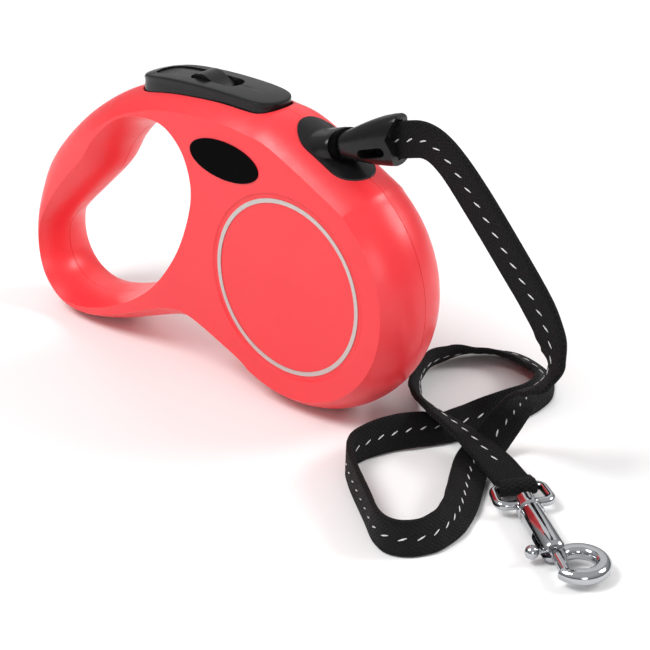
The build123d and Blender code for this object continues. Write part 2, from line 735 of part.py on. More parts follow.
with BuildPart() as hook_body:
    with BuildSketch(hook_cross(BARREL_FROM)):
        Circle(BARREL_R)
    extrude(amount=BARREL_L)
    with BuildSketch(hook_cross(BARREL_FROM)):
        Circle(BARREL_R + 0.15)
    extrude(amount=2.2)
    with BuildLine(hook_frame()) as ring_path:
        CenterArc(RING_CENTRE, SNAP_RING_R, -180, 360)
    with BuildSketch(Plane(origin=ring_path.line @ 0, z_dir=ring_path.line % 0)):
        Circle(SNAP_WIRE_R)
    sweep(path=ring_path.line)
    with BuildSketch(hook_cross(GATE_FROM)):
        Rectangle(5.2, 12)
        with Locations((-3, 0)):
            Rectangle(6, 12)
    extrude(amount=GATE_TO - GATE_FROM, mode=Mode.SUBTRACT)
    with BuildSketch(hook_cross(BOLT_FROM - 10)):
        Circle(BOLT_R + FIT)
    extrude(amount=BOLT_TO - BOLT_FROM + 10.4, mode=Mode.SUBTRACT)
    with BuildSketch(hook_cross(BARREL_FROM - 1)):
        Circle(NECK_R + FIT)
    extrude(amount=6, mode=Mode.SUBTRACT)
    with BuildSketch(hook_cross(4.4 - 0.15)):
        Circle(HEAD_R + 0.15)
    extrude(amount=1.7, mode=Mode.SUBTRACT)
    with BuildSketch(hook_frame()):
        with Locations((KNOB_AT - BOLT_TRAVEL - 1.6, 0)):
            Rectangle(BARREL_TO - KNOB_AT + BOLT_TRAVEL + 3, 8, align=(Align.MIN, Align.MAX))
    extrude(amount=1.3, both=True, mode=Mode.SUBTRACT)
save(hook_body, "hook_body")

KNOB_NECK_R = 0.9
KNOB_R = 2.2


def knob_plane():
    """Across the knob's neck, on the barrel's axis, extruding away from the ring."""
    frame = hook_frame()
    return Plane(origin=frame.from_local_coords((KNOB_AT, 0, 0)), x_dir=frame.x_dir, z_dir=-frame.y_dir)


with BuildPart() as hook_bolt:
    with BuildSketch(hook_cross(BOLT_FROM)):
        Circle(BOLT_R)
    extrude(amount=BOLT_TO - BOLT_FROM)
    with BuildSketch(knob_plane()):
        Circle(KNOB_NECK_R)
    extrude(amount=BOLT_R + 1, mode=Mode.SUBTRACT)
save(hook_bolt, "hook_bolt")

with BuildPart() as thumb_knob:
    with BuildSketch(knob_plane()):
        Circle(KNOB_NECK_R)
    extrude(amount=BARREL_R + 1)
    with Locations(knob_plane().from_local_coords((0, 0, BARREL_R + 0.4 + KNOB_R))):
        Sphere(KNOB_R)
save(thumb_knob, "thumb_knob")

BOLT_SPRING_FROM = 7.0
BOLT_SPRING_R = 1.25
BOLT_SPRING_WIRE_R = 0.2

with BuildPart() as bolt_spring:
    spring_start = hook_frame().from_local_coords((BOLT_SPRING_FROM + BOLT_SPRING_WIRE_R, 0, 0))
    spring_l = BOLT_FROM - BOLT_SPRING_FROM - 2 * BOLT_SPRING_WIRE_R
    with BuildLine() as bolt_coil:
        Helix(pitch=spring_l / 6, height=spring_l, radius=BOLT_SPRING_R, center=spring_start,
              direction=hook_frame().x_dir)
    with BuildSketch(Plane(origin=bolt_coil.line @ 0, z_dir=bolt_coil.line % 0)):
        Circle(BOLT_SPRING_WIRE_R)
    sweep(path=bolt_coil.line, is_frenet=True)
save(bolt_spring, "bolt_spring")
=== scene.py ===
"""Retractable dog leash: materials, moulded shells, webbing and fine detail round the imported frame."""
import math

import bmesh
import bpy
from mathutils import Matrix, Vector, geometry


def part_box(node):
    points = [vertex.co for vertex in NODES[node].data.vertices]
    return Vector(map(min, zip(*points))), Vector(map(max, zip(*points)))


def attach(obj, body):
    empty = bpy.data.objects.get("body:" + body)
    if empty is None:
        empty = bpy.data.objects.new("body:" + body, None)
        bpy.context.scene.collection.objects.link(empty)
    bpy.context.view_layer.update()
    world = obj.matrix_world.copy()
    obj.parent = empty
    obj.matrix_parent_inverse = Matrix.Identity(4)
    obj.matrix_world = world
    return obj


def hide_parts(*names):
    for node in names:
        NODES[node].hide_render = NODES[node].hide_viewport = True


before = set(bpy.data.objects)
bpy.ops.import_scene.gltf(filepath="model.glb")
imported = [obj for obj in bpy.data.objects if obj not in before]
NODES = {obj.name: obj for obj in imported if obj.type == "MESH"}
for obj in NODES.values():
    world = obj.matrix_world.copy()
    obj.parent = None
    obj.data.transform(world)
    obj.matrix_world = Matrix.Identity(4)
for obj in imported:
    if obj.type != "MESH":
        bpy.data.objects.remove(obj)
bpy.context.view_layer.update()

MM = 0.001


def centre(node):
    low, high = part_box(node)
    return (low + high) / 2


AXLE = centre("wound_tape")
DISC_R = 46.8                      # the housing's disc, mm
FLOOR = -DISC_R                    # the floor's height from the spool axis, mm
HALF_T = 15.3                      # half of the housing's thickness, mm


def at(x, y, z):
    """A point given in millimetres from the middle of the spool."""
    return AXLE + Vector((x, y, z)) * MM


# ---------------------------------------------------------------- camera and light
CAMERA_AT = at(399.2, -455.3, 283.8)
CAMERA_AZIMUTH = math.radians(40.95)
CAMERA_ELEVATION = math.radians(26.58)
CAMERA_LENS = 110.77


def make_camera():
    sin_a, cos_a = math.sin(CAMERA_AZIMUTH), math.cos(CAMERA_AZIMUTH)
    sin_e, cos_e = math.sin(CAMERA_ELEVATION), math.cos(CAMERA_ELEVATION)
    back = Vector((sin_a * cos_e, -cos_a * cos_e, sin_e))
    right = Vector((cos_a, sin_a, 0))
    up = back.cross(right)
    data = bpy.data.cameras.new("camera")
    data.lens = CAMERA_LENS
    data.sensor_width = 36
    data.clip_start = 0.01
    camera = bpy.data.objects.new("camera", data)
    camera.matrix_world = Matrix((
        (right.x, up.x, back.x, CAMERA_AT.x),
        (right.y, up.y, back.y, CAMERA_AT.y),
        (right.z, up.z, back.z, CAMERA_AT.z),
        (0, 0, 0, 1)))
    bpy.context.scene.collection.objects.link(camera)
    bpy.context.scene.camera = camera


def make_light(name, place, size, power):
    data = bpy.data.lights.new(name, "AREA")
    data.shape = "DISK"
    data.size = size
    data.energy = power
    light = bpy.data.objects.new(name, data)
    light.location = AXLE + Vector(place)
    light.rotation_euler = (-Vector(place)).to_track_quat("-Z", "Y").to_euler()
    bpy.context.scene.collection.objects.link(light)


def make_world(strength):
    """A studio that is bright overhead and dim towards the horizon."""
    world = bpy.data.worlds.new("studio")
    world.use_nodes = True
    tree = world.node_tree
    background = tree.nodes["Background"]
    background.inputs["Strength"].default_value = strength
    coords = tree.nodes.new("ShaderNodeTexCoord")
    split = tree.nodes.new("ShaderNodeSeparateXYZ")
    shade = tree.nodes.new("ShaderNodeMapRange")
    for key, value in (("From Min", 0.0), ("From Max", 0.75), ("To Min", 0.22), ("To Max", 1.0)):
        shade.inputs[key].default_value = value
    tree.links.new(coords.outputs["Generated"], split.inputs["Vector"])
    tree.links.new(split.outputs["Z"], shade.inputs["Value"])
    tree.links.new(shade.outputs["Result"], background.inputs["Color"])
    bpy.context.scene.world = world


make_camera()


def add_object(name, mesh):
    obj = bpy.data.objects.new(name, mesh)
    bpy.context.scene.collection.objects.link(obj)
    return obj


def mesh_object(name, verts, faces, sharp_degrees=35.0):
    mesh = bpy.data.meshes.new(name)
    mesh.from_pydata([tuple(v) for v in verts], [], faces)
    finish_mesh(mesh, sharp_degrees)
    return add_object(name, mesh)


def finish_mesh(mesh, sharp_degrees=35.0, merge=1e-7):
    """Joins doubled points, turns the faces outwards and shades them smooth up to an angle."""
    work = bmesh.new()
    work.from_mesh(mesh)
    bmesh.ops.remove_doubles(work, verts=work.verts, dist=merge)
    bmesh.ops.dissolve_degenerate(work, edges=work.edges, dist=merge)
    bmesh.ops.recalc_face_normals(work, faces=work.faces)
    work.to_mesh(mesh)
    work.free()
    mesh.shade_smooth()
    mesh.set_sharp_from_angle(angle=math.radians(sharp_degrees))
    mesh.update()


def smooth_curve(points, closed, per_span=10):
    """A Catmull-Rom curve through the points."""
    points = [Vector(p) for p in points]
    count = len(points)
    spans = count if closed else count - 1
    out = []
    for i in range(spans):
        if closed:
            p0, p1, p2, p3 = (points[(i + k - 1) % count] for k in range(4))
        else:
            p0 = points[max(i - 1, 0)]
            p1, p2 = points[i], points[i + 1]
            p3 = points[min(i + 2, count - 1)]
        for k in range(per_span):
            t = k / per_span
            out.append(0.5 * (2 * p1 + (p2 - p0) * t + (2 * p0 - 5 * p1 + 4 * p2 - p3) * t * t
                              + (3 * p1 - p0 - 3 * p2 + p3) * t ** 3))
    if not closed:
        out.append(points[-1])
    return out


def resample(points, count, closed):
    """The same curve with its points evenly spaced."""
    points = list(points) + ([points[0]] if closed else [])
    lengths = [0.0]
    for a, b in zip(points, points[1:]):
        lengths.append(lengths[-1] + (b - a).length)
    steps = count if closed else count - 1
    out = []
    k = 0
    for i in range(count):
        want = lengths[-1] * i / steps
        while k < len(lengths) - 2 and lengths[k + 1] < want:
            k += 1
        span = max(lengths[k + 1] - lengths[k], 1e-12)
        out.append(points[k].lerp(points[k + 1], min((want - lengths[k]) / span, 1.0)))
    return out


def smoothstep(t):
    t = min(max(t, 0.0), 1.0)
    return t * t * (3 - 2 * t)


def lerp(a, b, t):
    return a + (b - a) * t


def loop_normals(loop, inwards=1.0):
    """Unit normals of a closed anticlockwise loop, pointing in."""
    count = len(loop)
    out = []
    for i in range(count):
        along = (loop[(i + 1) % count] - loop[i - 1]).normalized()
        out.append(Vector((-along.y, along.x)) * inwards)
    return out


def inside(point, loop):
    hit = False
    for a, b in zip(loop, loop[1:] + loop[:1]):
        if (a.y > point.y) != (b.y > point.y):
            if point.x < (b.x - a.x) * (point.y - a.y) / (b.y - a.y) + a.x:
                hit = not hit
    return hit


def nearest(point, loop):
    return min((p - point).length for p in loop)


def cut(obj, cutter, operation="DIFFERENCE"):
    """Applies a boolean and removes the cutter."""
    modifier = obj.modifiers.new("cut", "BOOLEAN")
    modifier.operation = operation
    modifier.solver = "EXACT"
    modifier.object = cutter
    graph = bpy.context.evaluated_depsgraph_get()
    mesh = bpy.data.meshes.new_from_object(obj.evaluated_get(graph))
    obj.modifiers.remove(modifier)
    obj.data = mesh
    bpy.data.objects.remove(cutter)
    return obj


def prism(name, loop, low, high, to_point):
    """A closed prism over a loop of 2-D points, between two levels."""
    count = len(loop)
    verts = [to_point(p, low) for p in loop] + [to_point(p, high) for p in loop]
    faces = [[i, (i + 1) % count, count + (i + 1) % count, count + i] for i in range(count)]
    faces += [list(range(count))[::-1], list(range(count, 2 * count))]
    return mesh_object(name, verts, faces)


def circle(radius, count, x=0.0, y=0.0):
    angles = [2 * math.pi * k / count for k in range(count)]
    return [Vector((x + radius * math.cos(a), y + radius * math.sin(a))) for a in angles]


# ---------------------------------------------------------------- housing outlines, mm from the spool axis
RIM_UP = 58
RIM_DOWN = 236
HANDLE = [(-4, 53.6), (-18, 56.4), (-32, 57.3), (-48, 56.2), (-62, 53.9), (-76, 49.4), (-88, 43.6),
          (-101, 34.8), (-113, 24), (-123, 12), (-129, -1), (-132, -13), (-131.5, -26), (-128, -36),
          (-121, -43), (-112, -46.4), (-100, -46.2), (-86, -42.6), (-73, -37.8), (-62, -33.6),
          (-54, -31.2), (-46, -31.2)]
FINGER_HOLE = [(-58, 40.6), (-68, 38.2), (-77, 33.5), (-85.5, 24.4), (-92, 14), (-104, 2), (-116, -9.5),
               (-121.5, -17), (-122.3, -26), (-118.5, -33.5), (-111, -37.6), (-100, -37.4), (-88, -33.8),
               (-74, -26.4), (-62, -16.5), (-51.5, -2), (-45.3, 13), (-43.6, 24), (-46.3, 33.5),
               (-51.5, 38.8)]
LOOP_POINTS = 420
HOLE_POINTS = 240


def outer_loop():
    """The housing's outline at the parting plane, anticlockwise in x and z."""
    turn = 360 - RIM_DOWN + RIM_UP
    arc = [Vector((DISC_R * math.cos(math.radians(RIM_DOWN + turn * k / 22)),
                   DISC_R * math.sin(math.radians(RIM_DOWN + turn * k / 22)))) for k in range(23)]
    return resample(smooth_curve(arc + [Vector(p) for p in HANDLE], True), LOOP_POINTS, True)


def hole_loop():
    return resample(smooth_curve(FINGER_HOLE, True), HOLE_POINTS, True)


def half_thickness(x):
    """The side face's distance from the parting plane."""
    back = max(-58.0 - x, 0.0) / 74.0
    return HALF_T - 4.1 * back * back


OUTER = outer_loop()
HOLE = hole_loop()
CREASE_INSET = 6.4                 # rim width on the disc


def outer_widths():
    widths = []
    for p in OUTER:
        bar = nearest(p, HOLE)
        grip = smoothstep((-50 - p.x) / 22)
        widths.append(lerp(CREASE_INSET, min(0.50 * bar, 10.5), grip))
    return ease_loop(widths, 9)


def hole_widths(normals):
    widths = []
    for p, n in zip(HOLE, normals):
        bar = nearest(p, OUTER)
        web = smoothstep((n.x + 0.25) / 0.6)
        widths.append(lerp(min(0.40 * bar, 8.5), 1.1, web))
    return ease_loop(widths, 7)


def ease_loop(values, reach):
    """A closed running mean, run three times."""
    for _ in range(3):
        count = len(values)
        values = [sum(values[(i + k) % count] for k in range(-reach, reach + 1)) / (2 * reach + 1)
                  for i in range(count)]
    return values


SEAM = 0.14                        # the halves' edges are this far from the parting plane
SEAM_INSET = 0.22
ARC_ROWS = 9
RECESS_R = 33.0
RECESS_DEPTH = 0.5


def arc_rows(loop, normals, widths):
    """Rows of (2-D point, height) from the parting plane up a rounded edge to its crease."""
    rows = [[(p + n * 1.2, 0.0) for p, n in zip(loop, normals)],
            [(p + n * SEAM_INSET, 0.02) for p, n in zip(loop, normals)],
            [(p, SEAM) for p in loop]]
    for k in range(1, ARC_ROWS + 1):
        row = []
        for p, n, w in zip(loop, normals, widths):
            crease = p + n * w
            top = half_thickness(crease.x)
            sweep = 2 * math.atan(w / top)
            turn = sweep * k / ARC_ROWS
            reach = w * (1 - math.cos(turn)) / (1 - math.cos(sweep))
            row.append((p + n * reach, SEAM + (top - SEAM) * math.sin(turn) / math.sin(sweep)))
        rows.append(row)
    return rows


def strip_faces(verts, faces, rows, to_point):
    for row in rows:
        verts.extend(to_point(p, h) for p, h in row)
    count = len(rows[0])
    start = len(verts) - count * len(rows)
    for r in range(len(rows) - 1):
        for i in range(count):
            j = (i + 1) % count
            a = start + r * count
            faces.append([a + i, a + j, a + count + j, a + count + i])


def cap_faces(verts, faces, outline, hole, rings, height, to_point, spacing=7.0):
    """Triangles between an outline and a hole, with rings of points and a light grid within."""
    loops = [outline, hole] + rings
    points, edges = [], []
    for loop in loops:
        first = len(points)
        points.extend(loop)
        edges.extend((first + i, first + (i + 1) % len(loop)) for i in range(len(loop)))
    bounds_x = [p.x for p in outline]
    bounds_y = [p.y for p in outline]
    steps_x = int((max(bounds_x) - min(bounds_x)) / spacing)
    steps_y = int((max(bounds_y) - min(bounds_y)) / spacing)
    fences = [p for loop in loops for p in loop]
    for i in range(1, steps_x):
        for j in range(1, steps_y):
            p = Vector((min(bounds_x) + i * spacing, min(bounds_y) + j * spacing))
            if inside(p, outline) and not inside(p, hole) and nearest(p, fences) > 0.4 * spacing:
                points.append(p)
    flat, _, tris, _, _, _ = geometry.delaunay_2d_cdt(points, edges, [], 0, 1e-5)
    first = len(verts)
    verts.extend(to_point(p, height(p)) for p in flat)
    for tri in tris:
        middle = (flat[tri[0]] + flat[tri[1]] + flat[tri[2]]) / 3
        if inside(middle, outline) and not inside(middle, hole):
            faces.append([first + k for k in tri])


def side_height(p):
    """Height of the side face over the parting plane, with its round recess."""
    r = p.length
    sunk = 1 - smoothstep((r - RECESS_R + 0.7) / 0.7)
    return half_thickness(p.x) - RECESS_DEPTH * sunk


def shell(name, sign):
    """One half of the housing as a closed crowned solid. sign is -1 on the near side."""
    def to_point(p, h):
        return at(p.x, sign * h, p.y)

    normals = loop_normals(OUTER)
    hole_normals = loop_normals(HOLE, -1.0)
    outer_rows = arc_rows(OUTER, normals, outer_widths())
    hole_rows = arc_rows(HOLE, hole_normals, hole_widths(hole_normals))
    verts, faces = [], []
    strip_faces(verts, faces, outer_rows, to_point)
    strip_faces(verts, faces, hole_rows, to_point)
    top_outline = [p for p, _ in outer_rows[-1]]
    top_hole = [p for p, _ in hole_rows[-1]]
    rings = [circle(RECESS_R, 144), circle(RECESS_R - 0.7, 144)]
    cap_faces(verts, faces, top_outline, top_hole, rings, side_height, to_point)
    cap_faces(verts, faces, [p for p, _ in outer_rows[0]], [p for p, _ in hole_rows[0]], [], lambda p: 0.0,
              to_point, 20.0)
    return mesh_object(name, verts, faces)


# ---------------------------------------------------------------- webbing lead
WEB_W = 12.0
WEB_T = 0.95                       # half of the doubled webbing's thickness
WEB_CLEAR = 0.15                   # gap between the webbing's edge and the floor
OUTLET = (11.8, 49.3)              # x and z of the nozzle's mouth
OUTLET_ANGLE = math.radians(18)
CONNECTOR_END = 27.0


def on_outlet(along, across=0.0, up=0.0):
    """Millimetres along the tape's way out, across the housing and upwards from it."""
    c, s = math.cos(OUTLET_ANGLE), math.sin(OUTLET_ANGLE)
    return (OUTLET[0] + along * c - up * s, across, OUTLET[1] + along * s + up * c)


# Each point of the route, with the way the webbing's width stands there. Where no height is
# given the webbing's lower edge is on the floor.
WEB_ROUTE = [
    (on_outlet(14), (-0.31, 0, 0.95)), (on_outlet(CONNECTOR_END), (-0.3, 0, 0.95)),
    ((45.9, 0, 59.8), (0.05, 0, 1)), ((54.5, 0, 55.7), (0.5, 0, 0.83)),
    ((66.5, 0, 43.6), (0.7, 0.06, 0.7)), ((80, -0.3, 28.8), (0.74, 0.05, 0.66)),
    ((90, 0, 17), (0.84, 0.02, 0.54)), ((94.8, 0.6, 8.3), (0.95, -0.1, 0.3)),
    ((96, 1.2, 0.5), (0.92, -0.38, 0)), ((94.3, 2.2, -6.5), (0.5, -0.82, -0.3)),
    ((89.7, 4, -12.2), (-0.1, -0.98, -0.15)), ((84.2, 7, -17.2), (-0.42, -0.9, 0.03)),
    ((79.2, 9.5, -23), (-0.58, -0.8, 0.06)), ((74.6, 11.5, -30), (-0.68, -0.7, 0.2)),
    ((70.8, 10.5, -36.9), (-0.75, -0.55, 0.3)), ((68.8, 5), (-0.86, -0.33, 0.36)),
    ((70.2, -3.5), (-0.84, -0.4, 0.36)), ((75.5, -13.2), (-0.8, -0.47, 0.4)),
    ((82, -24), (-0.74, -0.42, 0.52)), ((88.3, -36), (-0.6, -0.25, 0.76)),
    ((90.8, -47), (-0.35, 0, 0.93)), ((88.6, -55.6), (-0.1, 0.05, 1)), ((82.0, -60.2), (0, 0.05, 1)),
    ((74.6, -58.2), (0, 0, 1)), ((66.3, -51.6), (0, 0, 1)), ((56.5, -44.5), (0, 0, 1)),
    ((47.3, -37.6), (0, 0, 1)), ((40.5, -31), (0.05, 0, 1)), ((39, -23.5), (-0.08, 0.04, 1)),
    ((41.6, -12), (-0.25, 0.14, 0.96)), ((46.6, -1), (-0.6, 0.34, 0.72)),
    ((50.2, 6.5), (-0.81, 0.46, 0.36)), ((54, 14.5), (-0.75, 0.42, 0.5)),
    ((59.8, 26), (-0.4, 0.2, 0.89)), ((63.6, 39), (-0.15, -0.15, 0.97)),
    ((60, 51.5), (-0.1, -0.62, 0.78)), ((49, 61), (-0.12, -0.86, 0.5)), ((35, 64.4), (0.05, -0.9, 0.42)),
    ((24, 57.4), (0.62, -0.6, 0.5)), ((19.2, 45), (0.62, -0.15, 0.77)), ((20.6, 32.5), (0.3, 0, 0.95)),
    ((27.4, 20.6), (-0.1, -0.2, 0.97)), ((36, 11.6, FLOOR + 7.4), (-0.24, -0.5, 0.83)),
    ((45.6, 5.6, FLOOR + 10.2), (-0.24, -0.72, 0.65)), ((54.6, 1.8, FLOOR + 10.6), (-0.26, -0.82, 0.5)),
    ((64, 0, FLOOR + 9.8), (-0.33, -0.86, 0.38)), ((73.4, -2.8, FLOOR + 8.4), (-0.42, -0.88, 0.2)),
    ((82.3, -5.2, FLOOR + 6.2), (-0.52, -0.85, 0.05)), ((91.5, -8.9, FLOOR + 4.15), (-0.602, -0.799, 0)),
]


def route_place(place, width):
    """A point of the route. With no height given it is raised by half of how high the webbing stands."""
    if len(place) == 3:
        return at(*place)
    up = width[2] / Vector(width).length
    standing = WEB_W / 2 * abs(up) + WEB_T * math.sqrt(1 - min(up * up, 1))
    return at(*place, FLOOR + standing + WEB_CLEAR)


def webbing_route():
    """The lead's smooth line, read from a NURBS spline through the route's control points."""
    curve = bpy.data.curves.new("webbing_route", "CURVE")
    curve.dimensions = "3D"
    curve.resolution_u = 16
    spline = curve.splines.new("NURBS")
    spline.points.add(len(WEB_ROUTE) - 1)
    for point, (place, width) in zip(spline.points, WEB_ROUTE):
        point.co = (*route_place(place, width), 1.0)
    spline.order_u = 3
    spline.use_endpoint_u = True
    carrier = bpy.data.objects.new("webbing_route", curve)
    bpy.context.scene.collection.objects.link(carrier)
    bpy.context.view_layer.update()
    mesh = bpy.data.meshes.new_from_object(carrier)
    line = [v.co.copy() for v in mesh.vertices]
    bpy.data.objects.remove(carrier)
    return line


def ribbon_frames(line):
    """Tangent, width and face directions along the lead, one set for each point of its line."""
    frames = []
    last = len(line) - 1
    spans = len(WEB_ROUTE) - 2
    for k, p in enumerate(line):
        tangent = (line[min(k + 1, last)] - line[max(k - 1, 0)]).normalized()
        place = k / last * spans + 0.5
        low = min(int(place), len(WEB_ROUTE) - 2)
        width = Vector(WEB_ROUTE[low][1]).normalized().lerp(
            Vector(WEB_ROUTE[low + 1][1]).normalized(), smoothstep(place - low))
        width = (width - tangent * width.dot(tangent)).normalized()
        frames.append((p, tangent, width, tangent.cross(width)))
    return frames


WEB_SECTION = [(-1.0, -0.22), (-0.985, -0.72), (-0.95, -0.97), (-0.55, -1.0), (0.0, -1.0), (0.55, -1.0),
               (0.95, -0.97), (0.985, -0.72), (1.0, -0.22), (0.975, 0.0), (1.0, 0.22), (0.985, 0.72),
               (0.95, 0.97), (0.55, 1.0), (0.0, 1.0), (-0.55, 1.0), (-0.95, 0.97), (-0.985, 0.72),
               (-1.0, 0.22), (-0.975, 0.0)]


def webbing_mesh(name, frames):
    """Doubled webbing: a flat section with a groove along each edge, where the two layers meet."""
    verts, faces, coords = [], [], []
    along = 0.0
    count = len(WEB_SECTION)
    for k, (p, _, width, face) in enumerate(frames):
        if k:
            along += (p - frames[k - 1][0]).length
        for across, thick in WEB_SECTION:
            verts.append(p + width * (across * WEB_W / 2 * MM) + face * (thick * WEB_T * MM))
            coords.append((along / MM, across * WEB_W / 2 + thick * 0.75))
    for k in range(len(frames) - 1):
        for i in range(count):
            j = (i + 1) % count
            faces.append([k * count + i, k * count + j, (k + 1) * count + j, (k + 1) * count + i])
    faces.append(list(range(count))[::-1])
    faces.append(list(range((len(frames) - 1) * count, len(frames) * count)))
    mesh = bpy.data.meshes.new(name)
    mesh.from_pydata([tuple(v) for v in verts], [], faces)
    layer = mesh.uv_layers.new(name="weave")
    for loop in mesh.loops:
        layer.data[loop.index].uv = Vector(coords[loop.vertex_index]) * 0.01
    mesh.shade_smooth()
    mesh.set_sharp_from_angle(angle=math.radians(50))
    return add_object(name, mesh)


def stitch_mesh(name, frames):
    """Reflective thread: short slanted dashes down the middle of both faces."""
    pitch, dash, half_w, slant = 5.4 * MM, 2.5 * MM, 0.3 * MM, 0.5 * MM
    lengths = [0.0]
    for a, b in zip(frames, frames[1:]):
        lengths.append(lengths[-1] + (b[0] - a[0]).length)

    def frame_at(distance):
        k = 0
        while k < len(lengths) - 2 and lengths[k + 1] < distance:
            k += 1
        t = (distance - lengths[k]) / max(lengths[k + 1] - lengths[k], 1e-9)
        a, b = frames[k], frames[k + 1]
        return tuple(a[i].lerp(b[i], t) for i in range(4))

    verts, faces = [], []
    steps = 6
    for dash_number in range(int((lengths[-1] - 12 * MM) / pitch)):
        begin = 3 * MM + dash_number * pitch
        for side in (-1, 1):
            first = len(verts)
            for s in range(steps + 1):
                t = s / steps
                p, _, width, face = frame_at(begin + dash * t)
                bulge = math.sin(math.pi * (0.12 + 0.76 * t))
                across = slant * (2 * t - 1) * side
                for turn in range(6):
                    angle = math.pi * turn / 5
                    verts.append(p + width * (across + half_w * bulge * math.cos(angle))
                                 + face * side * ((WEB_T - 0.05) * MM + 0.22 * MM * bulge * math.sin(angle)))
            for s in range(steps):
                for i in range(5):
                    a = first + s * 6 + i
                    faces.append([a, a + 1, a + 7, a + 6])
                faces.append([first + s * 6 + 5, first + s * 6, first + s * 6 + 6, first + s * 6 + 11])
            faces.append([first + i for i in range(6)][::-1])
            faces.append([first + steps * 6 + i for i in range(6)])
    return mesh_object(name, verts, faces, 60)


# ---------------------------------------------------------------- materials
def material(name):
    mat = bpy.data.materials.new(name)
    mat.use_nodes = True
    tree = mat.node_tree
    return mat, tree, tree.nodes["Principled BSDF"]


def node(tree, kind, **settings):
    made = tree.nodes.new(kind)
    for key, value in settings.items():
        if key in made.inputs:
            made.inputs[key].default_value = value
        else:
            setattr(made, key, value)
    return made


def noise(tree, scale, detail=3.0, roughness=0.5):
    """Noise in object space; scale is in cycles to the metre."""
    coords = node(tree, "ShaderNodeTexCoord")
    made = node(tree, "ShaderNodeTexNoise")
    made.inputs["Scale"].default_value = scale
    made.inputs["Detail"].default_value = detail
    made.inputs["Roughness"].default_value = roughness
    tree.links.new(coords.outputs["Object"], made.inputs["Vector"])
    return made.outputs["Fac"]


def ramp(tree, factor, low, high, start=0.35, end=0.65):
    made = node(tree, "ShaderNodeMapRange")
    made.inputs["From Min"].default_value = start
    made.inputs["From Max"].default_value = end
    made.inputs["To Min"].default_value = low
    made.inputs["To Max"].default_value = high
    tree.links.new(factor, made.inputs["Value"])
    return made.outputs["Result"]


def mix_colour(tree, factor, a, b):
    made = node(tree, "ShaderNodeMix", data_type="RGBA")
    made.inputs["A"].default_value = (*a, 1)
    made.inputs["B"].default_value = (*b, 1)
    tree.links.new(factor, made.inputs["Factor"])
    # the colour sockets come after the float and vector ones
    made.inputs[6].default_value = (*a, 1)
    made.inputs[7].default_value = (*b, 1)
    return made.outputs[2]


def bump(tree, shader, height, distance, strength=1.0):
    made = node(tree, "ShaderNodeBump")
    made.inputs["Strength"].default_value = strength
    made.inputs["Distance"].default_value = distance
    tree.links.new(height, made.inputs["Height"])
    tree.links.new(made.outputs["Normal"], shader.inputs["Normal"])


def plastic(name, dark, light, rough, grain, grain_depth, coat=0.0, subsurface=0.0, specular=0.5):
    """Moulded plastic: faint colour drift, mottled gloss and a fine texture from the mould."""
    mat, tree, shader = material(name)
    drift = noise(tree, 35, 2)
    tree.links.new(mix_colour(tree, drift, dark, light), shader.inputs["Base Color"])
    gloss = noise(tree, 260, 4)
    tree.links.new(ramp(tree, gloss, rough - 0.035, rough + 0.035), shader.inputs["Roughness"])
    bump(tree, shader, noise(tree, grain, 2), grain_depth)
    shader.inputs["Specular IOR Level"].default_value = specular
    shader.inputs["Coat Weight"].default_value = coat
    shader.inputs["Coat Roughness"].default_value = 0.12
    if subsurface:
        shader.inputs["Subsurface Weight"].default_value = subsurface
        shader.inputs["Subsurface Radius"].default_value = (1.0, 0.25, 0.2)
        shader.inputs["Subsurface Scale"].default_value = 0.002
    return mat


def metal(name, base, rough, brushed=0.0, grain=900):
    mat, tree, shader = material(name)
    shader.inputs["Metallic"].default_value = 1.0
    worn = noise(tree, 90, 4)
    tree.links.new(mix_colour(tree, worn, tuple(c * 0.93 for c in base), base), shader.inputs["Base Color"])
    tree.links.new(ramp(tree, noise(tree, grain, 3), rough * 0.7, rough * 1.4), shader.inputs["Roughness"])
    bump(tree, shader, noise(tree, grain, 2), 0.00001 + brushed)
    return mat


